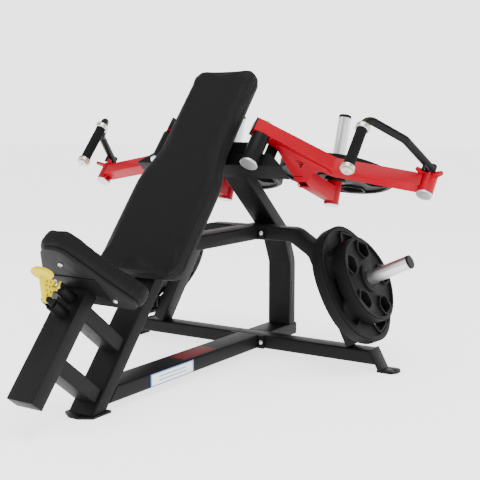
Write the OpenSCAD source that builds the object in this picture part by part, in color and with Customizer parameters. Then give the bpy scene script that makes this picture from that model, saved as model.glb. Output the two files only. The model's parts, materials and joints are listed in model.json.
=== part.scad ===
// Plate-loaded incline press bench with a height-adjustable seat.
// Millimetres, +Z up, the user faces -Y, the user's left is +X.
// "rail" coordinates (u, b, a) follow the backrest: u = X, a = up the slope, b = behind the main post.

/* [Recline] */
// Lean of posts, back pad and arm pivots from the vertical, degrees
recline = 39.5; // [36:0.5:43]
// Front face of the main post where its line meets the floor, distance from the cross tube front
post_y = 955; // [930:5:980]

/* [Tubes] */
// Width of the centre tubes (base beam, posts, mast)
tube_w = 100; // [90:5:110]
// Thickness of the centre tubes
tube_t = 50; // [44:2:56]
// Depth of the side frame tubes along Y
side_w = 75; // [70:5:80]
// Underside of the base tubes above the floor
base_z = 25; // [20:1:30]
// Floor plate thickness
foot_t = 8; // [6:1:10]

/* [Side frame] */
// Underside of the middle level tubes
mid_z = 446; // [430:2:460]
// Half length of the level middle stretch
gull_x1 = 180; // [170:5:190]
// Bend above the storage peg, X
gull_x2 = 259; // [250:1:268]
// Bend above the storage peg, Z of the inner edge
gull_z2 = 397; // [385:1:405]
// Inner edge of the leg where it meets the cross tube, X
leg_x = 420; // [410:2:430]
// Half length of the cross tube at its underside
cross_x = 536; // [530:1:545]

/* [Mast] */
// Front face of the rear column, Y
mast_y = 232; // [225:1:240]
// First bend of the mast
mast_z1 = 326; // [315:1:335]
// Second bend of the mast, Z
mast_z2 = 437; // [430:1:445]
// Second bend of the mast, Y
mast_y2 = 184; // [178:1:190]
// End of the base stub behind the column
stub_y = 292; // [285:1:300]

/* [Back pad] */
// Pad length along the slope
back_len = 866; // [840:2:880]
// Lower end of the pad along the slope
back_a = 482; // [475:1:495]
// Half width of the pad at the top
back_w1 = 133; // [125:1:140]
// Half width of the pad at the bottom
back_w2 = 170; // [160:1:180]
// Pad thickness
back_t = 50; // [44:2:56]

/* [Seat] */
// Tilt of the seat from the horizontal, degrees
seat_tilt = 46; // [42:0.5:48]
// Half width of the seat at its back edge
seat_w = 194; // [180:2:200]
// Half width of the seat nose
seat_nose = 38; // [34:1:45]
// Seat length
seat_len = 290; // [280:2:300]
// Seat pad thickness
seat_t = 60; // [52:2:66]
// Seat height travel along the post
seat_travel = 100; // [60:20:120]

/* [Arms] */
// Arm pivot from the centre line
pivot_u = 193; // [185:1:200]
// Arm pivot behind the post front face
pivot_b = 31.5; // [28:0.5:36]
// Underside of the arm along the slope
arm_a = 1112; // [1105:1:1120]
// Square arm tube
arm_t = 50; // [46:1:54]
// Arm bend, u
bend_u = 392; // [385:1:400]
// Arm bend, b
bend_b = 233; // [225:1:240]
// Handle swivel axis, u
hub_u = 713; // [700:1:725]
// Handle swivel axis, b
hub_b = 315; // [305:1:325]
// Pivot housing radius
housing_r = 31; // [28:1:34]
// Arm pivot shaft radius
shaft_r = 15; // [12:0.5:18]

/* [Handles] */
// Handle tube radius
handle_r = 14; // [12:0.5:16]
// Grip axis, u
grip_u = 563; // [550:1:575]
// Grip axis, b
grip_b = 40; // [30:1:50]
// Handle tube level along the slope
handle_a = 1200; // [1192:1:1208]

/* [Plates] */
// Horn and storage peg radius
horn_r = 25; // [24:0.5:25.4]
// Large plate radius
plate_r = 224; // [215:1:230]
// Small storage plate radius
small_r = 161; // [150:1:170]
// Large plate thickness
plate_t = 45; // [38:1:50]
// Small plate thickness
small_t = 52; // [40:1:56]
// Horn lean back from the vertical, degrees
horn_lean = 18.6; // [15:0.2:22]
// Horn length above its socket
horn_len = 256; // [230:2:280]
// Storage peg rise from the horizontal, degrees
peg_rise = 25; // [20:0.5:28]

/* [Hidden] */
$fn = 48;
eps = 0.01;
wall = 4;
base_t = base_z + tube_t;
half_w = tube_w / 2;
ct = cos(recline);
st = sin(recline);
post_top = 1125;
front_b = -254;
front_a0 = -67;
front_a1 = 305;
seat_b = -428;
seat_a = 348;
seat_slope = seat_tilt - recline;
horn_base = [245, 209, 573];
socket_len = 90;
collar_t = 10;
plate_hole = horn_r + 0.5;
peg_tip = [642, side_w / 2, 401];
peg_root = 305;
peg_free = 162;
lever_b = -336;
lever_a = 216;
plunger_a = 270;
lug_gap = 0.5;
relief = 0.3;
hole_x = 598;
// overall Y extent, used to centre the footprint on the origin
y_front = -post_y + front_a0 * st + front_b * ct;
plate_rise = socket_len + collar_t + plate_t + 0.3;
y_back = horn_base.y + (plate_rise - 4) * sin(horn_lean) + plate_r * cos(horn_lean);
y_mid = (y_front + y_back) / 2;

// ---------- helpers ----------
function unit(v) = v / norm(v);
// round one corner of a path with radius r
function round_corner(p0, p1, p2, r, n) =
    let(d0 = unit(p0 - p1), d2 = unit(p2 - p1), h = acos(d0 * d2) / 2,
        c = p1 + unit(d0 + d2) * r / sin(h), s = p1 + d0 * r / tan(h), e = p1 + d2 * r / tan(h),
        a0 = atan2(s.y - c.y, s.x - c.x), a1 = atan2(e.y - c.y, e.x - c.x),
        da = (a1 - a0 + 540) % 360 - 180)
    [for (i = [0:n]) c + r * [cos(a0 + da * i / n), sin(a0 + da * i / n)]];
// closed outline of [x, y, corner radius] points
function rounded(pts, n = 6) = let(m = len(pts)) [for (i = [0:m - 1])
    let(p0 = pts[(i + m - 1) % m], p1 = pts[i], p2 = pts[(i + 1) % m])
    each p1.z > 0 ? round_corner([p0.x, p0.y], [p1.x, p1.y], [p2.x, p2.y], p1.z, n) : [[p1.x, p1.y]]];
// open path of [x, y, corner radius] points
function bent(pts, n = 5) = let(m = len(pts)) [for (i = [0:m - 1])
    let(p0 = pts[max(i - 1, 0)], p1 = pts[i], p2 = pts[min(i + 1, m - 1)])
    each (p1.z > 0 && i > 0 && i < m - 1)
        ? round_corner([p0.x, p0.y], [p1.x, p1.y], [p2.x, p2.y], p1.z, n) : [[p1.x, p1.y]]];
function left(v) = [-v.y, v.x];
// the path moved sideways by w, corners mitred
function shifted(path, w) = let(m = len(path)) [for (i = [0:m - 1])
    let(d0 = unit(i > 0 ? path[i] - path[i - 1] : path[1] - path[0]),
        d1 = unit(i < m - 1 ? path[i + 1] - path[i] : path[i] - path[i - 1]), nn = unit(left(d0) + left(d1)))
    path[i] + nn * w / (nn * left(d1))];
// strip between two offsets of a path
function strip(path, w0, w1) = let(a = shifted(path, w0), b = shifted(path, w1), m = len(path))
    concat(a, [for (i = [0:m - 1]) b[m - 1 - i]]);
function smooth(t) = let(c = min(max(t, 0), 1)) c * c * (3 - 2 * c);

// everything is drawn with Y = 0 at the cross tube and then centred
module place() { translate([0, -y_mid, 0]) children(); }
// children use [u, b, a]
module rail() { translate([0, -post_y, 0]) rotate([-recline, 0, 0]) children(); }
module both() { children(); mirror([1, 0, 0]) children(); }
module side(s) { if (s > 0) children(); else mirror([1, 0, 0]) children(); }
module box(lo, hi) { translate(lo) cube(hi - lo); }
// YZ outline extruded along X from -w/2 to w/2
module slab_x(w) { rotate([90, 0, 90]) translate([0, 0, -w / 2]) linear_extrude(w) children(); }
// XZ outline extruded along Y from y0 to y1
module slab_y(y0, y1) { translate([0, y1, 0]) rotate([90, 0, 0]) linear_extrude(y1 - y0) children(); }
// round bar or ring along +Z
module ring(r, r0, z0, z1) {
    translate([0, 0, z0]) difference() {
        cylinder(r = r, h = z1 - z0);
        if (r0 > 0) translate([0, 0, -1]) cylinder(r = r0, h = z1 - z0 + 2);
    }
}
// disc with a rounded outer edge
module soft_disc(r, r0, h, e) {
    rotate_extrude() polygon(rounded([[r0, 0, 0], [r, 0, e], [r, h, e], [r0, h, 0]], 4));
}
// domed hex-socket bolt head along +Z
module dome_bolt(r) {
    difference() {
        rotate_extrude($fn = 24) polygon([[0, 0], [r, 0], [r, r * 0.25], [r * 0.8, r * 0.62],
            [r * 0.42, r * 0.82], [0, r * 0.86]]);
        translate([0, 0, r * 0.4]) cylinder(r = r * 0.38, h = r, $fn = 6);
    }
}

// ---------- base and side frame ----------
module base_beam() color("#1c1c1e") place() difference() {
    box([-half_w, -post_y, base_z], [half_w, -foot_t, base_t]);
    rail() box([-tube_w, -200, -200], [tube_w, tube_t, 400]);
    translate([0, 0, wall]) box([-half_w + wall, -post_y, base_z], [half_w - wall, 0, base_t - 2 * wall]);
}

module frame_stubs() color("#1c1c1e") place() {
    difference() {
        box([-half_w, side_w, base_z], [half_w, stub_y, base_t]);
        box([-half_w + wall, side_w - 1, base_z + wall], [half_w - wall, stub_y + 1, base_t - wall]);
    }
    box([-half_w + wall, stub_y - 2, base_z + wall], [half_w - wall, stub_y + 2, base_t - wall]);
    slab_x(tube_w) polygon([[side_w, mid_z], mast_front(mid_z), mast_front(mid_z + tube_t),
        [side_w, mid_z + tube_t]]);
}
// front face of the leaning mast at height z, as [y, z]
function mast_front(z) = [mast_y2 - (z - mast_z2) * tan(90 - recline - 2), z];

module cross_tube() color("#1c1c1e") place() {
    lean = tube_t * tan(29);
    difference() {
        slab_y(0, side_w) polygon([[-cross_x, base_z], [cross_x, base_z], [cross_x - lean, base_t],
            [-cross_x + lean, base_t]]);
        slab_y(wall, side_w - wall) polygon([[-cross_x - 9, base_z + wall], [cross_x + 9, base_z + wall],
            [cross_x + 9, base_t - wall], [-cross_x - 9, base_t - wall]]);
    }
}

module bolt_flanges() color("#1c1c1e") place() for (z = [base_z, mid_z]) difference() {
    box([-75, -foot_t, z], [75, 0, z + tube_t]);
    for (s = [-1, 1]) translate([s * 63, 1, z + tube_t / 2]) rotate([90, 0, 0]) cylinder(r = 5, h = 10);
}

module flange_bolts() color("#d8d8da") place() for (z = [base_z, mid_z], s = [-1, 1])
    translate([s * 63, -foot_t, z + tube_t / 2]) rotate([90, 0, 0]) {
        dome_bolt(9);
        translate([0, 0, -foot_t]) cylinder(r = 5, h = foot_t + eps, $fn = 24);
    }

gull_path = [[0, mid_z, 0], [gull_x1, mid_z, 30], [gull_x2, gull_z2, 40], [leg_x, base_t, 0]];
module gull_tube() color("#1c1c1e") place() {
    path = bent(gull_path);
    difference() {
        both() slab_y(0, side_w) intersection() {
            polygon(concat([path[0]], shifted(path, 0), [for (i = [len(path) - 1:-1:0]) shifted(path, tube_t)[i]]));
            translate([0, base_t]) square([700, 600]);
        }
        both() slab_y(wall, side_w - wall) polygon(strip(concat([[-1, mid_z]], path), wall, tube_t - wall));
    }
    leg_gussets();
}

module leg_gussets() both()
    slab_y(side_w / 2 - 4, side_w / 2 + 4)
        polygon([[leg_x - 46, base_t], [leg_x, base_t], [leg_x - 22, base_t + 44], [leg_x - 28, base_t + 40]]);

module mid_beam() color("#1c1c1e") place() difference() {
    box([-half_w, -post_y, mid_z], [half_w, -foot_t, mid_z + tube_t]);
    rail() box([-tube_w, -400, -200], [tube_w, tube_t, 1400]);
    box([-half_w + wall, -post_y, mid_z + wall], [half_w - wall, 1, mid_z + tube_t - wall]);
}

mast_path = [[mast_y, base_t, 0], [mast_y, mast_z1, 60], [mast_y2, mast_z2, 60],
    [mast_y2 - 620 * sin(88 - recline), mast_z2 + 620 * cos(88 - recline), 0]];
module mast() color("#1c1c1e") place() difference() {
    slab_x(tube_w) polygon(strip(bent(mast_path), 0, -tube_t));
    slab_x(tube_w - 2 * wall) polygon(strip(bent(mast_path), -wall, -tube_t + wall));
    rail() box([-tube_w, -400, 0], [tube_w, tube_t, 1400]);
}

module main_post() color("#1c1c1e") place() difference() {
    rail() box([-half_w, 0, -60], [half_w, tube_t, post_top]);
    rail() box([-half_w + wall, wall, -61], [half_w - wall, tube_t - wall, post_top - wall]);
    box([-200, -2000, -300], [200, 500, foot_t]);
}

module front_post() color("#1c1c1e") place() rail() difference() {
    box([-half_w, front_b, front_a0], [half_w, front_b + tube_t, front_a1]);
    box([-half_w + wall, front_b + wall, front_a0 + wall], [half_w - wall, front_b + tube_t - wall, front_a1 + 1]);
    translate([0, front_b - 1, plunger_a]) rotate([-90, 0, 0]) cylinder(r = 6.5, h = wall + 2, $fn = 32);
}

module post_braces() color("#1c1c1e") place() rail() for (a = [50, 226]) difference() {
    box([-40, front_b + tube_t, a], [40, 0, a + tube_t]);
    box([-40 + wall, front_b + tube_t - 1, a + wall], [40 - wall, 1, a + tube_t - wall]);
}

module front_foot() {
    y0 = -post_y + 10;
    linear_extrude(foot_t) polygon([[-58, y0 + 75], [-58, y0 - 8], [-18, y0 - 34], [18, y0 - 34], [58, y0 - 8],
        [58, y0 + 75]]);
}

module rear_feet() both() {
    x0 = cross_x + 1 - (base_t - base_z) * tan(29);
    x1 = cross_x + 1 + (base_z - foot_t) * tan(29);
    difference() {
        union() {
            slab_y(0, side_w) polygon([[x0, base_t + 1], [x0 + foot_t, base_t + 4],
                [x1 + foot_t + 1, foot_t], [x1 + foot_t, 0], [x1 - 3, 0], [x1, foot_t]]);
            linear_extrude(foot_t) polygon([[x1 - 3, 0], [600, 0], [614, 24], [614, side_w - 24], [600, side_w],
                [x1 - 3, side_w]]);
        }
        translate([hole_x, side_w / 2, -1]) cylinder(r = 7, h = 20);
    }
}

module floor_feet() color("#1c1c1e") place() {
    front_foot();
    rear_feet();
}

module label_plate() color("#e6e6e6") place() box([half_w, -668, base_z + 3], [half_w + 1.2, -430, base_t - 3]);

// ---------- pivots and stops ----------
module top_crossbar() color("#1c1c1e") place() rail() difference() {
    box([-205, tube_t, 1052], [205, 2 * tube_t, 1104]);
    box([-206, tube_t + wall, 1052 + wall], [206, 2 * tube_t - wall, 1104 - wall]);
    box([-half_w, tube_t - 1, 1040], [half_w, 2 * tube_t + 1, 1130]);
    both() translate([pivot_u, pivot_b, 0]) cylinder(r = housing_r + 0.05, h = 1200);
}

module stop_bar() color("#1c1c1e") place() rail() {
    difference() {
        slab_y(tube_t, tube_t + side_w) polygon([[-310, 1000], [310, 1000], [250, 1050], [-250, 1050]]);
        slab_y(tube_t + wall, tube_t + side_w - wall)
            polygon([[-298, 1000 + wall], [298, 1000 + wall], [242, 1050 - wall], [-242, 1050 - wall]]);
        both() translate([pivot_u, pivot_b, 0]) cylinder(r = housing_r + 0.05, h = 1200);
    }
    both() translate([stop_c.x, stop_c.y, 1050]) rotate([0, 0, arm_angle]) translate([-20, 16, 0])
        difference() {
            box([0, 0, 0], [40, 8, 100]);
            for (x = [10, 30]) translate([x, -1, 80]) rotate([-90, 0, 0]) cylinder(r = 4, h = 10, $fn = 24);
        }
}

arm_angle = atan2(bend_b - pivot_b, bend_u - pivot_u);
// centre of the arm's back face beside the stop bar
stop_c = [pivot_u, pivot_b] + 62 * [cos(arm_angle), sin(arm_angle)] + (arm_t / 2 + lug_gap) * [-sin(arm_angle),
    cos(arm_angle)];
module stop_bumpers() color("#101010") place() rail() both()
    translate([stop_c.x, stop_c.y, 0]) rotate([0, 0, arm_angle]) {
        box([-20, 0, 1113], [20, 16, 1147]);
        for (x = [-10, 10]) translate([x, 16, 1130]) rotate([-90, 0, 0]) cylinder(r = 4, h = 12, $fn = 24);
    }

module pivot_housings() color("#1c1c1e") place() rail() both() translate([pivot_u, pivot_b, 0])
    ring(housing_r, 21, 996, arm_a - 2);

module pivot_bearings() color("#b9b9bd") place() rail() both() translate([pivot_u, pivot_b, 0])
    for (a = [1004, arm_a - 22]) ring(21, shaft_r + 0.05, a, a + 18);

module pivot_caps() color("#d8d8da") place() rail() both() translate([pivot_u, pivot_b, 988])
    soft_disc(housing_r + 1, 0, 8, 2.5);

// ---------- backrest ----------
function pad_half(a) = back_w2 + (back_w1 - back_w2) * smooth((a - 830) / 180);
function pad_side(r, inset) = let(a0 = back_a + inset, a1 = back_a + back_len - inset, n = 8)
    concat([for (i = [0:n]) let(t = 270 + 90 * i / n)
            [pad_half(a0) - inset - r + r * cos(t), a0 + r + r * sin(t)]],
        [for (a = [800:23:1030]) [pad_half(a) - inset, a]],
        [for (i = [0:n]) let(t = 90 * i / n) [pad_half(a1) - inset - r + r * cos(t), a1 - r + r * sin(t)]]);
module pad_outline(r, inset) {
    s = pad_side(r, inset);
    polygon(concat(s, [for (i = [len(s) - 1:-1:0]) [-s[i].x, s[i].y]]));
}
module back_pad() color("#141414") place() rail() translate([0, -13, 0]) rotate([90, 0, 0])
    linear_extrude(back_t) pad_outline(46, 0);

module back_board() color("#1a1a1a") place() rail() rotate([90, 0, 0]) linear_extrude(13)
    pad_outline(34, 12);

// ---------- seat ----------
module seat_frame() { translate([0, seat_b, seat_a]) rotate([-seat_slope, 0, 0]) children(); }
function seat_pts(i) = [[seat_nose - i, i, 30], [60 - i, 30, 0], [102 - i, 98, 0], [150 - i, 178, 0],
    [seat_w - i, 240, 26], [seat_w - i, seat_len - i, seat_len - i - 252]];
module seat_outline(i) {
    h = seat_pts(i);
    polygon(rounded(concat(h, [for (k = [len(h) - 1:-1:0]) [-h[k].x, h[k].y, h[k].z]])));
}
module seat_pad() color("#141414") place() rail() seat_frame() linear_extrude(seat_t) seat_outline(0);

module seat_board() color("#1a1a1a") place() rail() seat_frame() difference() {
    translate([0, 0, -12]) linear_extrude(12) seat_outline(14);
    for (p = seat_bolt_pts) translate([p.x, p.y, -13]) cylinder(r = 3, h = 9, $fn = 24);
}
seat_bolt_pts = [[0, 82], [112, 240], [-112, 240]];
module seat_bolts() color("#d8d8da") place() rail() seat_frame() for (p = seat_bolt_pts)
    translate([p.x, p.y, -12]) rotate([180, 0, 0]) {
        dome_bolt(8);
        translate([0, 0, -8]) cylinder(r = 3, h = 8 + eps, $fn = 24);
    }

// inner tube that slides in the front post, with a cradle under the board
module seat_stem() color("#1c1c1e") place() rail() {
    g = 0.5;
    b0 = front_b + wall + g;
    b1 = front_b + tube_t - wall - g;
    difference() {
        box([-half_w + wall + g, b0, 60], [half_w - wall - g, b1, front_a1 + 4]);
        box([-half_w + 2 * wall, b0 + 3.5, 59], [half_w - 2 * wall, b1 - 3.5, front_a1 - 8]);
        for (k = [0:seat_travel / 20]) translate([0, b0 - 1, plunger_a - 20 * k]) rotate([-90, 0, 0])
            cylinder(r = 6.4, h = 6, $fn = 32);
    }
    hull() {
        seat_frame() translate([0, 188, -15]) linear_extrude(3) square([190, 100], center = true);
        box([-half_w, front_b - 1, front_a1 + 1], [half_w, front_b + tube_t + 1, front_a1 + 4]);
    }
}

module adjuster_bosses() color("#161616") place() rail() {
    translate([0, front_b, plunger_a]) rotate([90, 0, 0]) ring(19, 6.05, 0, 56);
    translate([0, front_b, lever_a]) rotate([90, 0, 0]) cylinder(r = 19, h = 56);
    for (s = [-1, 1]) translate([s * 9.5, 0, 0]) hull() {
        box([-2.5, front_b - 57, lever_a - 12], [2.5, front_b - 54, lever_a + 12]);
        translate([-2.5, lever_b, lever_a]) rotate([0, 90, 0]) cylinder(r = 9, h = 5, $fn = 32);
    }
    translate([-14, lever_b, lever_a]) rotate([0, 90, 0]) cylinder(r = 4, h = 28, $fn = 32);
    both() translate([12, lever_b, lever_a]) rotate([0, 90, 0]) dome_bolt(7);
}

module plunger() color("#d8d8da") place() rail() translate([0, front_b + 4, plunger_a]) rotate([90, 0, 0]) {
    cylinder(r = 6, h = 88);
    translate([0, 0, 70.5]) cylinder(r = 11, h = 3);
    translate([0, 0, 84.5]) cylinder(r = 11, h = 5);
}

// yellow pull lever: ribbed web, oval paddle, fork around the plunger neck
module seat_lever() color("#d9c22a") place() rail() {
    web = [[-329, 207, 0], [-343, 207, 0], [-392, 252, 4], [-392, 262, 4], [-336, 276, 0], [-322, 262, 0],
        [-322, 254, 0], [-334, 246, 0], [-325, 216, 0]];
    difference() {
        slab_x(13) polygon(rounded(web, 3));
        translate([-8, lever_b, lever_a]) rotate([0, 90, 0]) cylinder(r = 4.05, h = 16, $fn = 32);
        for (p = [[-346, 226], [-340, 240], [-356, 236], [-352, 250], [-366, 247], [-371, 257], [-357, 262],
                [-343, 256]])
            translate([-8, p.x, p.y]) rotate([0, 90, 0]) cylinder(r = 4.4, h = 16, $fn = 6);
        box([-7, -327, 240], [7, -300, 290]);
        box([-7, -342, 257], [7, -317, 290]);
    }
    difference() {
        box([-14, -331, 250], [14, -327, 282]);
        translate([0, 0, plunger_a]) box([-7, -332, -7], [7, -325, 40]);
    }
    translate([0, -398, 262]) rotate([-14, 0, 0]) scale([1, 0.56, 1]) soft_disc(42, 0, 11, 4);
}

// ---------- arms ----------
arm_pts = [[pivot_u, pivot_b], [bend_u, bend_b], [hub_u, hub_b]];
dir1 = unit(arm_pts[1] - arm_pts[0]);
dir2 = unit(arm_pts[2] - arm_pts[1]);
arm_line = [for (p = concat([concat(arm_pts[0] - 34 * dir1, 0)], [concat(arm_pts[1], 60)],
    [concat(arm_pts[2] - 20 * dir2, 0)])) p];
module arm_tube(s) color("#c01822") place() rail() side(s) {
    path = bent(arm_line);
    difference() {
        translate([0, 0, arm_a]) linear_extrude(arm_t) polygon(strip(path, -arm_t / 2, arm_t / 2));
        translate([0, 0, arm_a + 3]) linear_extrude(arm_t - 6) polygon(strip(path, -arm_t / 2 + 3, arm_t / 2 - 3));
        translate([pivot_u, pivot_b, arm_a - 1]) cylinder(r = shaft_r + 6, h = arm_t + 2);
        translate([hub_u, hub_b, arm_a - 20]) cylinder(r = 27.55, h = 100);
    }
}

gusset_pts = [[232, 74, 0], [224, 323, 4], [271, 321, 4], [273, 281, 6], [337, 218, 8], [392, 233, 0],
    [380, 206, 0], [262, 86, 0]];
module arm_gusset(s) color("#c01822") place() rail() side(s) for (a = [arm_a - 6, arm_a + arm_t])
    translate([0, 0, a]) difference() {
        linear_extrude(6) polygon(rounded(gusset_pts, 4));
        translate([0, 0, -1]) linear_extrude(8) polygon(rounded([[279, 146, 4], [309, 178, 4], [278, 208, 4]], 4));
        translate([245, 252, -1]) linear_extrude(8) square([42, 7], center = true);
        translate([0, 0, -a]) rotate([recline, 0, 0]) translate([0, post_y, 0]) horn_frame()
            box([-20.2, -258.2, 7.8], [20.2, -10, 68.2]);
    }

module horn_frame() { translate(horn_base) rotate([-horn_lean, 0, 0]) children(); }
module arm_branch(s) color("#c01822") place() side(s) {
    horn_frame() difference() {
        union() {
            ring(29, 0, 0, socket_len);
            box([-20, -258, 8], [20, -10, 68]);
        }
        translate([0, 0, 8]) cylinder(r = horn_r - 2, h = 100);
        translate([0, 0, 30]) cylinder(r = horn_r - relief + 0.02, h = 100);
        box([-17, -259, 11], [17, -27, 65]);
        branch_keep() box([100, 100, arm_a - 60], [400, 560, arm_a]);
    }
}
// rail coordinates seen from the horn frame
module branch_keep() { rotate([horn_lean, 0, 0]) translate(-horn_base) rail() children(); }

module handle_housing(s) color("#c01822") place() rail() side(s) translate([hub_u, hub_b, 0]) {
    ring(27.5, handle_r + 0.1, arm_a - 16, arm_a + arm_t + 8);
    difference() {
        for (t = [-121.5, -29]) rotate([0, 0, t]) translate([0, 0, arm_a + arm_t]) linear_extrude(8)
            polygon(rounded([[20, -12, 0], [62, -7, 6], [62, 7, 6], [20, 12, 0]], 4));
        translate([0, 0, arm_a]) cylinder(r = 20, h = 100);
    }
}

module horn(s) color("#d8d8da") place() side(s) horn_frame() {
    ring(horn_r - relief, horn_r - 5, 30, plate_rise + 2);
    ring(horn_r, horn_r - 5, plate_rise + 2, socket_len + horn_len);
}

module arm_trim(s) color("#121212") place() side(s) {
    horn_frame() {
        ring(40, horn_r - relief + 0.02, socket_len, socket_len + collar_t);
        translate([0, 0, socket_len + horn_len]) soft_disc(horn_r - relief, 0, 12, 2);
        ring(horn_r - 5, 0, socket_len + horn_len - 20, socket_len + horn_len + eps);
    }
    rail() translate([pivot_u, pivot_b, 0]) rotate([0, 0, arm_angle])
        box([-39, -arm_t / 2, arm_a], [-34, arm_t / 2, arm_a + arm_t]);
}

module arm_caps(s) color("#d8d8da") place() side(s) {
    horn_frame() translate([0, 0, -5]) soft_disc(29, 0, 5, 2);
    rail() translate([hub_u, hub_b, arm_a - 22]) soft_disc(28, 0, 6, 2);
    rail() translate([pivot_u, pivot_b, arm_a + arm_t]) soft_disc(26, 0, 5, 2);
}

module pivot_shaft(s) color("#a9a9ad") place() rail() side(s) translate([pivot_u, pivot_b, 0]) {
    ring(shaft_r, 0, 1000, arm_a);
    ring(shaft_r + 6, 0, arm_a, arm_a + arm_t);
}

// ---------- handles ----------
// round bar elbow of bend radius r at p1, coming from p0 and leaving to p2, all [x, y]
module elbow(p0, p1, p2, r, tube) {
    d0 = unit(p0 - p1);
    d2 = unit(p2 - p1);
    h = acos(d0 * d2) / 2;
    c = p1 + unit(d0 + d2) * r / sin(h);
    turn = d0.x * d2.y - d0.y * d2.x;
    first = turn > 0 ? d2 : d0;
    start = p1 + first * r / tan(h) - c;
    translate([c.x, c.y, 0]) rotate([0, 0, atan2(start.y, start.x)]) rotate_extrude(angle = 180 - 2 * h)
        translate([r, 0]) circle(r = tube, $fn = 32);
}
// straight bar between [x, y] points, shortened by c0 and c1
module bar(p, q, c0, c1, tube) {
    d = unit(q - p);
    translate([p.x + d.x * c0, p.y + d.y * c0, 0]) rotate([0, 90, atan2(d.y, d.x)])
        cylinder(r = tube, h = norm(q - p) - c0 - c1, $fn = 32);
}
elbow_r = handle_r + 0.1;
drop_r = 33;
handle_pts = [[hub_u, hub_b], [665, 154], [grip_u, grip_b]];
module handle_tube(s) color("#161616") place() rail() side(s) {
    h = acos(unit(handle_pts[0] - handle_pts[1]) * unit(handle_pts[2] - handle_pts[1])) / 2;
    cut = 40 / tan(h);
    down = norm(handle_pts[2] - handle_pts[1]);
    d = unit(handle_pts[2] - handle_pts[1]);
    translate([0, 0, handle_a]) {
        bar(handle_pts[0], handle_pts[1], 5, cut - 1, handle_r);
        bar(handle_pts[1], handle_pts[2], cut - 1, drop_r - 1, handle_r);
        elbow(handle_pts[0], handle_pts[1], handle_pts[2], 40, elbow_r);
    }
    translate([grip_u, grip_b, handle_a]) rotate([0, 0, atan2(d.y, d.x)]) rotate([90, 0, 0])
        elbow([-down, 0], [0, 0], [0, -200], drop_r, elbow_r);
    translate([grip_u, grip_b, 985]) cylinder(r = handle_r, h = handle_a - drop_r + 1 - 985);
    translate([hub_u, hub_b, arm_a - 14]) cylinder(r = handle_r, h = handle_a - arm_a + 30);
    translate([hub_u, hub_b, 0]) rotate([0, 0, -102.2]) {
        translate([47, 0, arm_a + arm_t + 1]) cylinder(r = 6, h = 30, $fn = 24);
        box([8, -5, handle_a - 22], [50, 5, handle_a - 10]);
    }
}

module handle_grip(s) color("#0e0e0e") place() rail() side(s) translate([grip_u, grip_b, 0])
    ring(18.5, handle_r, 1000, 1148);

module grip_collars(s) color("#d8d8da") place() rail() side(s) translate([grip_u, grip_b, 0]) {
    translate([0, 0, 1148]) soft_disc(24, handle_r, 18, 3);
    translate([0, 0, 985]) soft_disc(24, handle_r, 15, 3);
    difference() {
        translate([0, 0, 977]) soft_disc(19, 0, 8, 3);
        translate([0, 0, 976]) cylinder(r = 4.5, h = 5, $fn = 6);
    }
}

// ---------- weight plates ----------
function lobe_r(t, r) = r - 0.025 * r * (1 - cos(5 * t)) / 2;
function lobed(r, cut) = [for (i = [0:59]) (lobe_r(6 * i, r) - cut) * [cos(6 * i), sin(6 * i)]];
module plate_body(r, h, ho) {
    difference() {
        union() {
            translate([0, 0, 4]) linear_extrude(h - 8) polygon(lobed(r, 0));
            linear_extrude(h) polygon(lobed(r, 5));
        }
        for (z = [-1, h - 8]) translate([0, 0, z]) difference() {
            cylinder(r = r * 0.90, h = 9);
            translate([0, 0, -1]) cylinder(r = r * 0.32, h = 12);
            for (k = [0:4]) rotate([0, 0, 72 * k]) translate([0, 0, -1]) linear_extrude(12)
                polygon(teardrop(r, 7));
        }
        for (k = [0:4]) rotate([0, 0, 72 * k]) translate([0, 0, -1]) linear_extrude(h + 2)
            polygon(teardrop(r, 0));
        translate([0, 0, -1]) cylinder(r = ho, h = h + 2);
    }
}
// rounded three-sided hand hole, grown by g
function teardrop(r, g) = rounded([[r * 0.85 + g, -r * 0.17 - g, r * 0.07 + g],
    [r * 0.85 + g, r * 0.17 + g, r * 0.07 + g], [r * 0.60, r * 0.22 + g, r * 0.08 + g],
    [r * 0.49 - g, 0, r * 0.05 + g], [r * 0.60, -r * 0.22 - g, r * 0.08 + g]], 4);

module horn_plate(s) color("#202022") place() side(s) horn_frame()
    translate([0, 0, socket_len + collar_t + 0.3]) rotate([0, 0, 90]) plate_body(plate_r, plate_t, plate_hole);

module peg_frame() { translate(peg_tip) rotate([0, 90 - peg_rise, 0]) children(); }
module storage_pegs() color("#d8d8da") place() both() difference() {
    peg_frame() {
        ring(horn_r - relief, 0, -peg_root, -peg_free + 1);
        ring(horn_r, 0, -peg_free + 1, 0);
    }
    slab_y(-1, side_w + 1) polygon(strip(bent(gull_path), 0, tube_t));
}
module peg_trim() color("#121212") place() both() peg_frame() {
    soft_disc(horn_r - relief, 0, 8, 2);
    ring(42, horn_r - relief + 0.05, -peg_free - small_t - plate_t - 22, -peg_free - small_t - plate_t - 0.6);
}
module storage_plate_large(s) color("#202022") place() side(s) peg_frame()
    translate([0, 0, -peg_free - small_t - plate_t - 0.3]) rotate([0, 0, 90]) plate_body(plate_r, plate_t, plate_hole);
module storage_plate_small(s) color("#202022") place() side(s) peg_frame()
    translate([0, 0, -peg_free - small_t]) rotate([0, 0, 90]) plate_body(small_r, small_t, plate_hole);

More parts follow.
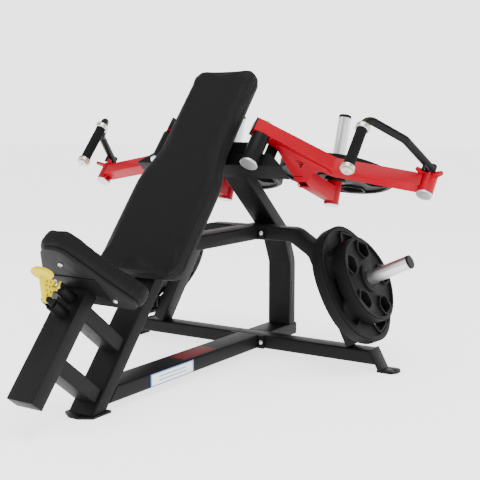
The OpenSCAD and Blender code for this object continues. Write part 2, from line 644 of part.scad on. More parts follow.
// ---------- parts list ----------
base_beam();
frame_stubs();
cross_tube();
bolt_flanges();
flange_bolts();
gull_tube();
mid_beam();
mast();
main_post();
front_post();
post_braces();
floor_feet();
label_plate();
top_crossbar();
stop_bar();
stop_bumpers();
pivot_housings();
pivot_bearings();
pivot_caps();
back_pad();
back_board();
storage_pegs();
peg_trim();
adjuster_bosses();
seat_stem();
seat_board();
seat_pad();
seat_bolts();
seat_lever();
plunger();
arm_tube(1);  // arm_tube_l
arm_tube(-1);  // arm_tube_r
arm_gusset(1);  // arm_gusset_l
arm_gusset(-1);  // arm_gusset_r
arm_branch(1);  // arm_branch_l
arm_branch(-1);  // arm_branch_r
handle_housing(1);  // handle_housing_l
handle_housing(-1);  // handle_housing_r
horn(1);  // horn_l
horn(-1);  // horn_r
arm_trim(1);  // arm_trim_l
arm_trim(-1);  // arm_trim_r
arm_caps(1);  // arm_caps_l
arm_caps(-1);  // arm_caps_r
pivot_shaft(1);  // pivot_shaft_l
pivot_shaft(-1);  // pivot_shaft_r
handle_tube(1);  // handle_tube_l
handle_tube(-1);  // handle_tube_r
handle_grip(1);  // handle_grip_l
handle_grip(-1);  // handle_grip_r
grip_collars(1);  // grip_collars_l
grip_collars(-1);  // grip_collars_r
horn_plate(1);  // horn_plate_l
horn_plate(-1);  // horn_plate_r
storage_plate_large(1);  // storage_plate_large_l
storage_plate_large(-1);  // storage_plate_large_r
storage_plate_small(1);  // storage_plate_small_l
storage_plate_small(-1);  // storage_plate_small_r
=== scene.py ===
import json
import math

import bmesh
import bpy
from mathutils import Matrix, Vector


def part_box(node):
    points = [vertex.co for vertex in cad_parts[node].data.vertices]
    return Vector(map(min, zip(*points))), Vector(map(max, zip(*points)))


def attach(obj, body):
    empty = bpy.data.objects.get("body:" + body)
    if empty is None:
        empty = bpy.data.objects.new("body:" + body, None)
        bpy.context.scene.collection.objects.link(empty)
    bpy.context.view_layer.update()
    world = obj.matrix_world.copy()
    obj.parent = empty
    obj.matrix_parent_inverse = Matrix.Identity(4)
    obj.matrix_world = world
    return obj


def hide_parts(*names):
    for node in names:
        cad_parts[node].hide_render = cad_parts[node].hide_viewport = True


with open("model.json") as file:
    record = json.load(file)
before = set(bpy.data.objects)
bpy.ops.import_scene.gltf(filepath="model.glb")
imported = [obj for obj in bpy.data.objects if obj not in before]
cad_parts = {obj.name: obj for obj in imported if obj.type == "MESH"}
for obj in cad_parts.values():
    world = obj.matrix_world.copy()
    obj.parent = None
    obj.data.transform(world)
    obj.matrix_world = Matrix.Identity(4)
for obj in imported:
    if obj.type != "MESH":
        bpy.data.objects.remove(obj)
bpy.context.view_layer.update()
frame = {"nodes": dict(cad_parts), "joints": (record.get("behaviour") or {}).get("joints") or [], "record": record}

bl_info = {
    "name": "Incline press bench",
    "version": (1, 0, 0),
    "blender": (4, 5, 0),
    "location": "View3D > Sidebar > Bench",
    "description": "Builds the looks of an incline press bench: covers, coats, plates, grips and studio",
    "category": "Object",
}

JOINTS = {joint["name"]: joint for joint in frame["joints"]}
BODY_OF = {node: body for body, nodes in frame["record"]["behaviour"]["bodies"].items() for node in nodes}
SLOT_OF = {part["node"]: part["material_slot"] for part in frame["record"]["subparts"]}
SLOPE = Vector(JOINTS["seat_height"]["axis"]).normalized()
BACKWARD = Vector((0.0, SLOPE.z, -SLOPE.y))
PIVOT = Vector(JOINTS["arm_press_l"]["pos_m"])
RAIL_FOOT = PIVOT - SLOPE * 1.060 - BACKWARD * 0.0315 - Vector((PIVOT.x, 0, 0))
SIDES = (("l", 1), ("r", -1))
GRIP_LENGTH = 0.148


def rail(across, behind, up):
    """A point given across, behind the main post and up the slope, in metres."""
    return RAIL_FOOT + Vector((across, 0, 0)) + BACKWARD * behind + SLOPE * up


def rail_turn():
    """Turns X, Y, Z into across, behind and up the slope."""
    return Matrix((Vector((1, 0, 0)), BACKWARD, SLOPE)).transposed()


# ---------------------------------------------------------------- sizes and colours
class BenchSizes(bpy.types.PropertyGroup):
    tube_corner: bpy.props.FloatProperty(
        name="Tube corner", description="Outside corner radius of the frame tubes",
        default=0.007, min=0.001, max=0.012, unit="LENGTH")
    arm_corner: bpy.props.FloatProperty(
        name="Arm corner", description="Outside corner radius of the press arms",
        default=0.006, min=0.001, max=0.012, unit="LENGTH")
    plate_edge: bpy.props.FloatProperty(
        name="Plate edge", description="Rounding along the rims of the weight plates",
        default=0.0035, min=0.0005, max=0.006, unit="LENGTH")
    pad_swell: bpy.props.FloatProperty(
        name="Pad swell", description="How far the covers may swell from the cut foam",
        default=0.007, min=0.0, max=0.02, unit="LENGTH")
    pad_voxel: bpy.props.FloatProperty(
        name="Pad mesh", description="Mesh size used for the padded covers",
        default=0.006, min=0.004, max=0.012, unit="LENGTH")
    lens: bpy.props.FloatProperty(
        name="Lens", description="Focal length of the studio camera in millimetres",
        default=69.465, min=20, max=200)


class BenchColours(bpy.types.PropertyGroup):
    frame_coat: bpy.props.FloatVectorProperty(
        name="Frame coat", description="Powder coat on the frame", subtype="COLOR", size=3,
        default=(0.0048, 0.0048, 0.0051), min=0, max=1)
    arm_coat: bpy.props.FloatVectorProperty(
        name="Arm coat", description="Powder coat on the press arms", subtype="COLOR", size=3,
        default=(0.33, 0.0003, 0.0100), min=0, max=1)
    cover: bpy.props.FloatVectorProperty(
        name="Cover", description="Synthetic leather on the pads", subtype="COLOR", size=3,
        default=(0.0058, 0.0058, 0.0061), min=0, max=1)
    plate: bpy.props.FloatVectorProperty(
        name="Plate", description="Rubber coat on the weight plates", subtype="COLOR", size=3,
        default=(0.0050, 0.0051, 0.0053), min=0, max=1)
    lever: bpy.props.FloatVectorProperty(
        name="Lever", description="Moulded pull lever", subtype="COLOR", size=3,
        default=(0.60, 0.47, 0.0005), min=0, max=1)


# ---------------------------------------------------------------- shader writing
class Wire:
    """A shader value that can be used in ordinary arithmetic."""

    def __init__(self, finish, socket):
        self.finish = finish
        self.socket = socket

    def math(self, operation, *values):
        joined = {i: value for i, value in enumerate(values)}
        return self.finish.node("ShaderNodeMath", {"operation": operation}, joined)

    def __add__(self, other):
        return self.math("ADD", self, other)

    def __radd__(self, other):
        return self.math("ADD", other, self)

    def __sub__(self, other):
        return self.math("SUBTRACT", self, other)

    def __rsub__(self, other):
        return self.math("SUBTRACT", other, self)

    def __mul__(self, other):
        return self.math("MULTIPLY", self, other)

    def __rmul__(self, other):
        return self.math("MULTIPLY", other, self)

    def __truediv__(self, other):
        return self.math("DIVIDE", self, other)

    def __rtruediv__(self, other):
        return self.math("DIVIDE", other, self)

    def __pow__(self, other):
        return self.math("POWER", self, other)

    def __abs__(self):
        return self.math("ABSOLUTE", self)

    def clamp(self):
        return self.math("MINIMUM", self.math("MAXIMUM", self, 0.0), 1.0)

    def above(self, edge, width):
        """0 below the edge, 1 above it, with a ramp of that width."""
        return ((self - edge) / width + 0.5).clamp()


class Finish:
    """One material, written as expressions."""

    def __init__(self, name, **uniform):
        self.material = bpy.data.materials.new(name)
        self.material.use_nodes = True
        self.tree = self.material.node_tree
        self.shader = self.tree.nodes["Principled BSDF"]
        for key, value in uniform.items():
            self.shader.inputs[key.replace("_", " ")].default_value = value

    def node(self, kind, settings=None, values=None, out=0):
        made = self.tree.nodes.new(kind)
        for key, value in (settings or {}).items():
            if key == "stops":
                ramp = made.color_ramp.elements
                while len(ramp) > 1:
                    ramp.remove(ramp[-1])
                ramp[0].position, ramp[0].color = value[0]
                for position, colour in value[1:]:
                    ramp.new(position).color = colour
            else:
                setattr(made, key, value)
        for key, value in (values or {}).items():
            self.join(value, made.inputs[key])
        return Wire(self, made.outputs[out])

    def join(self, value, socket):
        if isinstance(value, Wire):
            self.tree.links.new(value.socket, socket)
        else:
            socket.default_value = value

    def place(self):
        return self.node("ShaderNodeTexCoord", out="Object")

    def axis(self, name):
        return self.node("ShaderNodeSeparateXYZ", values={0: self.place()}, out=name)

    def noise(self, scale, detail=2.0, rough=0.5):
        return self.node("ShaderNodeTexNoise", {"noise_dimensions": "3D"},
                         {"Vector": self.place(), "Scale": scale, "Detail": detail, "Roughness": rough})

    def mix(self, share, first, second):
        return self.node("ShaderNodeMix", {"data_type": "RGBA"}, {0: share, 6: first, 7: second}, out=2)

    def bump(self, height, strength, distance):
        return self.node("ShaderNodeBump",
                         values={"Strength": strength, "Distance": distance, "Height": height})

    def paint(self, **wires):
        for key, value in wires.items():
            self.join(value, self.shader.inputs[key.replace("_", " ")])
        return self.material


def tone(colour, factor):
    return (*[min(1.0, channel * factor) for channel in colour], 1.0)


def powder_coat(name, colour, gloss, coat):
    """Sprayed and baked coat: slight orange peel, faint cloudiness and handling marks."""
    finish = Finish(name, Specular_IOR_Level=0.10, Coat_Roughness=0.22)
    cloud = finish.noise(5.0, 4.0)
    marks = finish.noise(38.0, 6.0, 0.65).above(0.60, 0.12)
    colour_over = finish.mix(cloud, tone(colour, 0.82), tone(colour, 1.22))
    peel = finish.noise(420.0, 2.0) * 0.6 + finish.noise(1500.0, 1.0) * 0.4
    return finish.paint(Base_Color=colour_over, Roughness=gloss + cloud * 0.08 + marks * 0.10,
                        Coat_Weight=coat, Normal=finish.bump(peel, 0.10, 0.0004))


def chrome(name, rough):
    """Plated steel with a fine turned grain and fingerprints."""
    finish = Finish(name, Metallic=1.0)
    smudge = finish.noise(9.0, 3.0, 0.5).above(0.55, 0.45)
    grain = finish.noise(900.0, 2.0)
    return finish.paint(Base_Color=finish.mix(smudge, (0.66, 0.66, 0.67, 1), (0.60, 0.60, 0.61, 1)),
                        Roughness=rough + smudge * 0.04 + grain * 0.03,
                        Normal=finish.bump(grain, 0.04, 0.0002))


def leather_cover(name, colour):
    """Pebbled synthetic leather: rounded cells and creases between them; the colour carries painted shade in the
    creases and a soft painted sheen on the high spots.
    """
    finish = Finish(name, Specular_IOR_Level=0.10)
    cells = finish.node("ShaderNodeTexVoronoi", {"feature": "DISTANCE_TO_EDGE"},
                        {"Vector": finish.place(), "Scale": 520.0}, out="Distance")
    pebble = (cells * 4.5).clamp()
    folds = finish.noise(60.0, 5.0, 0.6)
    cloud = finish.noise(7.0, 3.0)
    # painted light: the pebble mask paints the creases darker as painted shade and the cell tops lighter as a
    # painted sheen; the cloud part is random tone
    shade = finish.mix((pebble * 0.7 + cloud * 0.3).clamp(), tone(colour, 0.62), tone(colour, 1.25))
    height = pebble * 0.55 + folds * 0.45
    return finish.paint(Base_Color=shade, Roughness=0.58 - pebble * 0.08 + cloud * 0.08,
                        Normal=finish.bump(height, 0.28, 0.0009))


def rubber_coat(name, colour):
    """Moulded rubber skin on iron: fine matt stipple with pale dusty flecks."""
    finish = Finish(name, Specular_IOR_Level=0.09)
    stipple = finish.noise(700.0, 2.0)
    dust = finish.noise(14.0, 6.0, 0.7).above(0.58, 0.30)
    flecks = finish.noise(240.0, 3.0, 0.7).above(0.70, 0.06)
    shade = finish.mix((dust * 0.45 + flecks * 0.5).clamp(), tone(colour, 0.85), tone(colour, 1.7))
    return finish.paint(Base_Color=shade, Roughness=0.50 + dust * 0.14 + stipple * 0.05,
                        Normal=finish.bump(stipple, 0.18, 0.0005))


def foam_sleeve(name):
    """Dipped foam grip: open, very fine pores."""
    finish = Finish(name, Specular_IOR_Level=0.10)
    pores = finish.node("ShaderNodeTexVoronoi", {"feature": "F1"},
                        {"Vector": finish.place(), "Scale": 900.0}, out="Distance")
    worn = finish.noise(30.0, 4.0).above(0.55, 0.3)
    # painted shade: the pore pits are painted darker than the foam around them; the worn patches are lighter wear
    shade = finish.mix((pores * 0.8 + worn * 0.2).clamp(), (0.003, 0.003, 0.003, 1), (0.008, 0.008, 0.0083, 1))
    return finish.paint(Base_Color=shade, Roughness=0.72 + worn * 0.12,
                        Normal=finish.bump(pores, 0.35, 0.0006))


def moulded(name, colour, rough):
    """Injection moulding with a light spark-eroded texture."""
    finish = Finish(name, Specular_IOR_Level=0.12)
    spark = finish.noise(1100.0, 2.0)
    flow = finish.noise(9.0, 3.0)
    return finish.paint(Base_Color=finish.mix(flow, tone(colour, 0.85), tone(colour, 1.15)),
                        Roughness=rough + spark * 0.10, Normal=finish.bump(spark, 0.15, 0.0003))


def turned_steel(name):
    """Machined bearing steel with a faint blotchy oil film."""
    finish = Finish(name, Metallic=1.0)
    film = finish.noise(45.0, 4.0)
    return finish.paint(Base_Color=finish.mix(film, (0.42, 0.42, 0.43, 1), (0.60, 0.60, 0.61, 1)),
                        Roughness=0.24 + film * 0.14, Normal=finish.bump(finish.noise(1200.0), 0.06, 0.0002))


def plain_label(name):
    """Blank printed plate with a thin border and two plain coloured strips."""
    finish = Finish(name, Specular_IOR_Level=0.5)
    low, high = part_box("label_plate")
    along = finish.axis("Y")
    up = finish.axis("Z")
    half_l, half_h = (high[1] - low[1]) / 2, (high[2] - low[2]) / 2
    from_mid_l = abs(along - (low[1] + high[1]) / 2)
    from_mid_h = abs(up - (low[2] + high[2]) / 2)
    border = (from_mid_l.above(half_l - 0.006, 0.0006) + from_mid_h.above(half_h - 0.004, 0.0006)).clamp()
    strip = (from_mid_h.above(0.0045, 0.0006) * (1 - from_mid_h.above(0.0080, 0.0006))
             * (1 - from_mid_l.above(half_l - 0.045, 0.001)))
    wear = finish.noise(60.0, 4.0)
    paper = finish.mix(wear, (0.80, 0.81, 0.82, 1), (0.90, 0.90, 0.91, 1))
    inked = finish.mix(border, paper, (0.05, 0.14, 0.36, 1))
    return finish.paint(Base_Color=finish.mix(strip, inked, (0.07, 0.20, 0.48, 1)), Roughness=0.35 + wear * 0.1)


def panelled_coat(name, colour, panel):
    """Powder coat with one plain coloured panel on the top face of the base beam."""
    finish = Finish(name, Specular_IOR_Level=0.10)
    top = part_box("base_beam")[1][2]
    half_length, half_width, edge = 0.0965, 0.036, 0.0006
    on_top = finish.axis("Z").above(top - 0.0012, 0.0004)
    inside = (on_top * (1 - abs(finish.axis("Y")).above(half_length, edge))
              * (1 - abs(finish.axis("X")).above(half_width, edge)))
    cloud = finish.noise(5.0, 4.0)
    coat = finish.mix(cloud, tone(colour, 0.82), tone(colour, 1.22))
    return finish.paint(Base_Color=finish.mix(inside, coat, tone(panel, 1.0)), Roughness=0.46 + cloud * 0.08,
                        Normal=finish.bump(finish.noise(420.0), 0.10, 0.0004))


def make_finishes():
    colours = bpy.context.scene.bench_colours
    return {
        "frame": powder_coat("Black_powder_coat", colours.frame_coat, 0.44, 0.02),
        "arm": powder_coat("Red_powder_coat", colours.arm_coat, 0.36, 0.06),
        "handle": powder_coat("Handle_coat", (0.005, 0.005, 0.0053), 0.36, 0.04),
        "chrome": chrome("Chrome_plate", 0.30),
        "steel": turned_steel("Turned_steel"),
        "rubber": moulded("Buffer_rubber", (0.006, 0.006, 0.006), 0.62),
        "grip": foam_sleeve("Foam_sleeve"),
        "plate": rubber_coat("Rubber_coat", colours.plate),
        "plastic": moulded("Black_cap", (0.005, 0.005, 0.0053), 0.42),
        "shell": moulded("Moulded_shell", (0.013, 0.013, 0.0135), 0.50),
        "upholstery": leather_cover("Leather_cover", colours.cover),
        "lever": moulded("Yellow_lever", colours.lever, 0.38),
        "label": plain_label("Blank_label"),
        "panel": panelled_coat("Panelled_coat", colours.frame_coat, (0.16, 0.006, 0.012)),
    }


FINISHES = {}


# ---------------------------------------------------------------- modelling help
def clear_selection():
    if bpy.context.object and bpy.context.object.mode != "OBJECT":
        bpy.ops.object.mode_set(mode="OBJECT")
    bpy.ops.object.select_all(action="DESELECT")


def pick(piece):
    clear_selection()
    piece.select_set(True)
    bpy.context.view_layer.objects.active = piece


def copy_of(node, name):
    """A merged copy of a frame node's mesh, as a new object."""
    mesh = frame["nodes"][node].data.copy()
    mesh.name = name
    mesh.materials.clear()
    piece = bpy.data.objects.new(name, mesh)
    bpy.context.scene.collection.objects.link(piece)
    pick(piece)
    bpy.ops.object.mode_set(mode="EDIT")
    bpy.ops.mesh.select_all(action="SELECT")
    bpy.ops.mesh.remove_doubles(threshold=0.00002)
    bpy.ops.mesh.dissolve_limited(angle_limit=math.radians(0.8))
    bpy.ops.object.mode_set(mode="OBJECT")
    return piece


def soften(piece, width, steps=3, angle=40.0):
    """Rounds the sharp edges and smooths the shading."""
    pick(piece)
    bevel = piece.modifiers.new("Edge", "BEVEL")
    bevel.width = width
    bevel.segments = steps
    bevel.limit_method = "ANGLE"
    bevel.angle_limit = math.radians(angle)
    bevel.use_clamp_overlap = True
    bpy.ops.object.modifier_apply(modifier="Edge")
    bpy.ops.object.shade_smooth_by_angle(angle=math.radians(32))


def finished(piece, slot, body, *nodes, material=None):
    """Gives a piece its finish, its slot and the body that carries it."""
    piece.data.materials.clear()
    piece.data.materials.append(material or FINISHES[slot])
    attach(piece, body)
    if nodes:
        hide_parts(*nodes)
    return piece


def lifted_tube(name, node, facing, depth, corner, ends=(0.048, 0.066)):
    """A solid bar swept from the side wall of a tube, with only its long corners rounded."""
    piece = copy_of(node, name)
    facing = Vector(facing).normalized()
    mesh = piece.data
    reach = max(facing.dot(vertex.co) for vertex in mesh.vertices)
    bpy.ops.object.mode_set(mode="EDIT")
    bpy.ops.mesh.select_mode(type="FACE")
    work = bmesh.from_edit_mesh(mesh)
    for face in work.faces:
        keep = face.normal.dot(facing) > 0.999 and facing.dot(face.calc_center_median()) > reach - 0.0005
        face.select_set(not keep)
    bmesh.update_edit_mesh(mesh)
    bpy.ops.mesh.delete(type="FACE")
    bpy.ops.mesh.select_all(action="SELECT")
    bpy.ops.mesh.extrude_region_move(TRANSFORM_OT_translate={"value": -facing * depth})
    bpy.ops.mesh.select_all(action="SELECT")
    bpy.ops.mesh.normals_make_consistent(inside=False)
    bpy.ops.mesh.select_mode(type="EDGE")
    bpy.ops.mesh.select_all(action="DESELECT")
    work = bmesh.from_edit_mesh(mesh)
    for edge in work.edges:
        run = edge.verts[1].co - edge.verts[0].co
        along_depth = abs(run.normalized().dot(facing)) > 0.99
        square = len(edge.link_faces) == 2 and edge.calc_face_angle(0.0) > math.radians(60)
        across_end = ends[0] < run.length < ends[1]
        edge.select_set(square and not along_depth and not across_end)
    bmesh.update_edit_mesh(mesh)
    bpy.ops.mesh.bevel(offset=corner, segments=4, affect="EDGES", clamp_overlap=True)
    bpy.ops.object.mode_set(mode="OBJECT")
    bpy.ops.object.shade_smooth_by_angle(angle=math.radians(32))
    return piece


# ---------------------------------------------------------------- studio
class BENCH_OT_stage(bpy.types.Operator):
    """Sets up the pale floor, the soft lights and the camera"""
    bl_idname = "bench.stage"
    bl_label = "Studio"

    def execute(self, context):
        clear_selection()
        bpy.ops.mesh.primitive_plane_add(size=60, location=(0, 0, -0.0006))
        floor = context.object
        floor.name = "Studio_floor"
        pale = Finish("Pale_floor", Roughness=0.9, Specular_IOR_Level=0.1, Emission_Strength=1.9)
        pale.shader.inputs["Emission Color"].default_value = (1, 1, 1, 1)
        haze = pale.noise(0.8, 2.0)
        shade = pale.mix(haze, (0.93, 0.93, 0.935, 1), (0.96, 0.96, 0.96, 1))
        floor.data.materials.append(pale.paint(Base_Color=shade))
        world = context.scene.world or bpy.data.worlds.new("Studio_air")
        context.scene.world = world
        world.use_nodes = True
        air = world.node_tree
        sight = air.nodes.new("ShaderNodeTexCoord")
        split = air.nodes.new("ShaderNodeSeparateXYZ")
        band = air.nodes.new("ShaderNodeValToRGB")
        band.color_ramp.elements[0].position, band.color_ramp.elements[0].color = 0.16, (1, 1, 1, 1)
        band.color_ramp.elements[1].position, band.color_ramp.elements[1].color = 0.42, (0.24, 0.24, 0.245, 1)
        air.links.new(sight.outputs["Generated"], split.inputs[0])
        air.links.new(split.outputs["Z"], band.inputs["Fac"])
        air.links.new(band.outputs["Color"], air.nodes["Background"].inputs["Color"])
        air.nodes["Background"].inputs["Strength"].default_value = 3.0
        for name, place, aim, size, power in (
                ("Key_softbox", (-2.6, -3.6, 3.4), (0, -0.1, 0.5), 2.6, 60),
                ("Fill_softbox", (4.2, -2.0, 2.2), (0.1, 0, 0.5), 2.4, 36),
                ("Top_softbox", (0.9, -0.2, 4.4), (0, 0.1, 0.4), 3.0, 120)):
            bpy.ops.object.light_add(type="AREA", location=place)
            lamp = context.object
            lamp.name = name
            lamp.data.shape = "DISK"
            lamp.data.size = size
            lamp.data.energy = power
            lamp.rotation_euler = (Vector(aim) - Vector(place)).to_track_quat("-Z", "Y").to_euler()
        bpy.ops.object.camera_add(location=(1.8894, RAIL_FOOT.y - 2.0125, 0.8768),
                                  rotation=(math.radians(90 - 7.08), 0, math.radians(32.99)))
        camera = context.object
        camera.name = "Studio_camera"
        camera.data.lens = context.scene.bench_sizes.lens
        camera.data.sensor_width = 36
        context.scene.camera = camera
        return {"FINISHED"}


# ---------------------------------------------------------------- pieces
class BENCH_OT_finishes(bpy.types.Operator):
    """Writes every finish and gives each frame node its own"""
    bl_idname = "bench.finishes"
    bl_label = "Finishes"

    def execute(self, context):
        FINISHES.update(make_finishes())
        for node, shown in frame["nodes"].items():
            if not shown.material_slots:
                shown.data.materials.append(None)
            for socket in shown.material_slots:
                socket.material = FINISHES[SLOT_OF[node]]
        return {"FINISHED"}


class BENCH_OT_tubes(bpy.types.Operator):
    """Round-cornered tubes of the frame"""
    bl_idname = "bench.tubes"
    bl_label = "Frame tubes"

    def execute(self, context):
        corner = context.scene.bench_sizes.tube_corner
        for node, facing, depth in (
                ("base_beam", (1, 0, 0), 0.100), ("mid_beam", (1, 0, 0), 0.100), ("mast", (1, 0, 0), 0.100),
                ("main_post", (1, 0, 0), 0.100),
                ("post_braces", (1, 0, 0), 0.080), ("frame_stubs", (1, 0, 0), 0.100),
                ("cross_tube", (0, -1, 0), 0.075), ("gull_tube", (0, -1, 0), 0.075)):
            piece = lifted_tube(node + "_bar", node, facing, depth, corner)
            finished(piece, "frame", BODY_OF[node], node,
                     material=FINISHES["panel"] if node == "base_beam" else None)
        piece = lifted_tube("top_crossbar_bar", "top_crossbar", -BACKWARD, 0.050, corner)
        finished(piece, "frame", "frame", "top_crossbar")
        return {"FINISHED"}


class BENCH_OT_ironwork(bpy.types.Operator):
    """Front post, feet, flanges, brackets and small castings with eased edges"""
    bl_idname = "bench.ironwork"
    bl_label = "Ironwork"

    def execute(self, context):
        for node, width in (("front_post", 0.0022), ("floor_feet", 0.002), ("bolt_flanges", 0.0018),
                            ("stop_bar", 0.0012), ("seat_stem", 0.0015), ("stop_bumpers", 0.002),
                            ("pivot_housings", 0.0012), ("seat_lever", 0.0007), ("label_plate", 0.0003)):
            piece = copy_of(node, node + "_eased")
            soften(piece, width)
            finished(piece, SLOT_OF[node], BODY_OF[node], node)
        return {"FINISHED"}


class BENCH_OT_arms(bpy.types.Operator):
    """Red press arms, their gussets, branches and handle housings"""
    bl_idname = "bench.arms"
    bl_label = "Press arms"

    def execute(self, context):
        corner = context.scene.bench_sizes.arm_corner
        for side, _ in SIDES:
            arm = lifted_tube(f"press_arm_{side}", f"arm_tube_{side}", -SLOPE, 0.050, corner)
            finished(arm, "arm", f"arm_{side}", f"arm_tube_{side}")
            for node, width in ((f"arm_gusset_{side}", 0.0014), (f"arm_branch_{side}", 0.003),
                                (f"handle_housing_{side}", 0.0018), (f"arm_trim_{side}", 0.0015)):
                piece = copy_of(node, node + "_eased")
                soften(piece, width)
                finished(piece, SLOT_OF[node], BODY_OF[node], node)
        return {"FINISHED"}


class BENCH_OT_plates(bpy.types.Operator):
    """Rubber-coated weight plates with rounded rims"""
    bl_idname = "bench.plates"
    bl_label = "Weight plates"

    def execute(self, context):
        edge = context.scene.bench_sizes.plate_edge
        for kind in ("horn_plate", "storage_plate_large", "storage_plate_small"):
            for side, _ in SIDES:
                node = f"{kind}_{side}"
                piece = copy_of(node, node + "_coated")
                soften(piece, edge, 3, 35.0)
                finished(piece, "plate", BODY_OF[node], node)
        return {"FINISHED"}


def cushion(name, node, back_plane, edge, swell, voxel):
    """A stuffed cover grown from the cut foam, flat where it sits on its board."""
    piece = copy_of(node, name)
    point, outward = back_plane
    soften(piece, edge, 4, 40.0)
    remesh = piece.modifiers.new("Cover", "REMESH")
    remesh.mode = "VOXEL"
    remesh.voxel_size = voxel
    bpy.ops.object.modifier_apply(modifier="Cover")
    start = [vertex.co.copy() for vertex in piece.data.vertices]
    pins = piece.vertex_groups.new(name="Board")
    held = [i for i, co in enumerate(start) if (co - point).dot(outward) > -0.004]
    pins.add(held, 1.0, "REPLACE")
    cloth = piece.modifiers.new("Stuffing", "CLOTH")
    cloth.settings.quality = 6
    cloth.settings.mass = 0.25
    cloth.settings.tension_stiffness = 18
    cloth.settings.compression_stiffness = 18
    cloth.settings.shear_stiffness = 8
    cloth.settings.bending_stiffness = 6
    cloth.settings.use_pressure = True
    cloth.settings.uniform_pressure_force = 4.0
    cloth.settings.effector_weights.gravity = 0.0
    cloth.settings.vertex_group_mass = "Board"
    cloth.point_cache.frame_start = 1
    cloth.point_cache.frame_end = 20
    for step in range(1, 21):
        bpy.context.scene.frame_set(step)
    pick(piece)
    bpy.ops.object.modifier_apply(modifier="Stuffing")
    bpy.context.scene.frame_set(1)
    for vertex, first in zip(piece.data.vertices, start):
        move = vertex.co - first
        if move.length > swell:
            vertex.co = first + move * (swell / move.length)
        over = (vertex.co - point).dot(outward)
        if over > 0:
            vertex.co -= outward * over
    piece.vertex_groups.clear()
    relax = piece.modifiers.new("Relax", "SMOOTH")
    relax.factor = 0.5
    relax.iterations = 4
    bpy.ops.object.modifier_apply(modifier="Relax")
    fine = piece.modifiers.new("Fine", "SUBSURF")
    fine.levels = fine.render_levels = 1
    bpy.ops.object.modifier_apply(modifier="Fine")
    return piece


def sew_seam(piece, point, outward, offset, depth, width):
    """Presses a sewn seam into the side wall, at a distance below the board."""
    for vertex in piece.data.vertices:
        level = -(vertex.co - point).dot(outward) - offset
        if abs(level) < width * 2.2 and abs(vertex.normal.dot(outward)) < 0.75:
            vertex.co -= vertex.normal * depth * math.exp(-(level / width) ** 2)


class BENCH_OT_cushions(bpy.types.Operator):
    """Back and seat cushions with sewn side seams"""
    bl_idname = "bench.cushions"
    bl_label = "Cushions"

    def execute(self, context):
        sizes = context.scene.bench_sizes
        point = rail(0, -0.013, 0.9)
        back = cushion("back_cushion", "back_pad", (point, BACKWARD), 0.013, sizes.pad_swell, sizes.pad_voxel)
        sew_seam(back, point, BACKWARD, 0.036, 0.0016, 0.0028)
        back.data.shade_smooth()
        finished(back, "upholstery", "frame", "back_pad")
        tilt = math.radians(6.5)
        up = (SLOPE * math.cos(tilt) + BACKWARD * math.sin(tilt)).normalized()
        under = rail(0, -0.428, 0.348)
        seat_voxel = 0.005
        seat = cushion("seat_cushion", "seat_pad", (under, -up), 0.016, sizes.pad_swell, seat_voxel)
        sew_seam(seat, under, -up, 0.044, 0.0016, 0.0026)
        seat.data.shade_smooth()
        finished(seat, "upholstery", "seat", "seat_pad")
        for node, body in (("back_board", "frame"), ("seat_board", "seat")):
            shell = copy_of(node, node + "_shell")
            soften(shell, 0.004, 4)
            finished(shell, "shell", body, node)
        return {"FINISHED"}


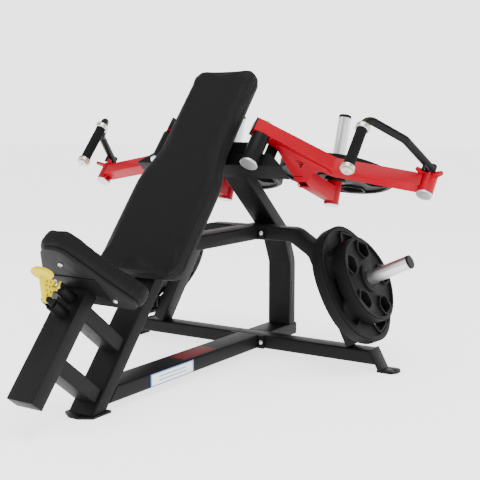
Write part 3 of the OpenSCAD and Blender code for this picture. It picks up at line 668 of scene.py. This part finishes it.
class BENCH_OT_grips(bpy.types.Operator):
    """Foam grips with a swollen middle and yellow sealing rings"""
    bl_idname = "bench.grips"
    bl_label = "Grips"

    def execute(self, context):
        turn = rail_turn().to_4x4()
        for side, sign in SIDES:
            foot = rail(0.563 * sign, 0.040, 1.0)
            clear_selection()
            bpy.ops.mesh.primitive_cylinder_add(vertices=48, radius=0.0180, depth=GRIP_LENGTH,
                                                end_fill_type="NOTHING")
            grip = context.object
            grip.name = f"foam_grip_{side}"
            bpy.ops.object.mode_set(mode="EDIT")
            bpy.ops.mesh.select_all(action="SELECT")
            for level in [-0.070 + 0.01 * k for k in range(15)]:
                bpy.ops.mesh.select_all(action="SELECT")
                bpy.ops.mesh.bisect(plane_co=(0, 0, level), plane_no=(0, 0, 1))
            bpy.ops.object.mode_set(mode="OBJECT")
            for vertex in grip.data.vertices:
                level = abs(vertex.co.z)
                bulge = 1.0 + 0.020 * math.cos(math.pi * level / GRIP_LENGTH)
                lip = 0.035 if 0.064 < level < 0.0715 else 0.0
                girth = bulge + lip - (0.03 if level > 0.0735 else 0.0)
                vertex.co.x *= girth
                vertex.co.y *= girth
            wall = grip.modifiers.new("Wall", "SOLIDIFY")
            wall.thickness = 0.0019
            wall.offset = -1
            bpy.ops.object.modifier_apply(modifier="Wall")
            grip.data.transform(Matrix.Translation(foot + SLOPE * GRIP_LENGTH / 2) @ turn)
            soften(grip, 0.0005, 2, 50)
            finished(grip, "grip", f"handle_{side}", f"handle_grip_{side}")
            for label, level, radius in (("upper", 0.1665, 0.0212), ("lower", -0.0145, 0.0232)):
                clear_selection()
                bpy.ops.mesh.primitive_torus_add(major_segments=48, minor_segments=10, major_radius=radius,
                                                 minor_radius=0.0011)
                ring = context.object
                ring.name = f"seal_{label}_{side}"
                ring.data.transform(Matrix.Translation(foot + SLOPE * level) @ turn)
                bpy.ops.object.shade_smooth()
                finished(ring, "lever", f"handle_{side}")
        return {"FINISHED"}


# ---------------------------------------------------------------- panel and running order
BUILD_ORDER = ("stage", "finishes", "tubes", "ironwork", "arms", "plates", "cushions", "grips")


class BENCH_PT_panel(bpy.types.Panel):
    """Lists the sizes, the colours and the building steps"""
    bl_idname = "BENCH_PT_panel"
    bl_label = "Incline press bench"
    bl_space_type = "VIEW_3D"
    bl_region_type = "UI"
    bl_category = "Bench"

    def draw(self, context):
        for group in (context.scene.bench_sizes, context.scene.bench_colours):
            for key in group.__annotations__:
                self.layout.prop(group, key)
        for step in BUILD_ORDER:
            self.layout.operator(f"bench.{step}")


CLASSES = (BenchSizes, BenchColours, BENCH_OT_stage, BENCH_OT_finishes, BENCH_OT_tubes, BENCH_OT_ironwork,
           BENCH_OT_arms, BENCH_OT_plates, BENCH_OT_cushions, BENCH_OT_grips, BENCH_PT_panel)


def register():
    for each in CLASSES:
        bpy.utils.register_class(each)
    bpy.types.Scene.bench_sizes = bpy.props.PointerProperty(type=BenchSizes)
    bpy.types.Scene.bench_colours = bpy.props.PointerProperty(type=BenchColours)


def unregister():
    del bpy.types.Scene.bench_sizes
    del bpy.types.Scene.bench_colours
    for each in reversed(CLASSES):
        bpy.utils.unregister_class(each)


def main():
    register()
    for step in BUILD_ORDER:
        getattr(bpy.ops.bench, step)()
    clear_selection()


if __name__ == "__main__":
    main()
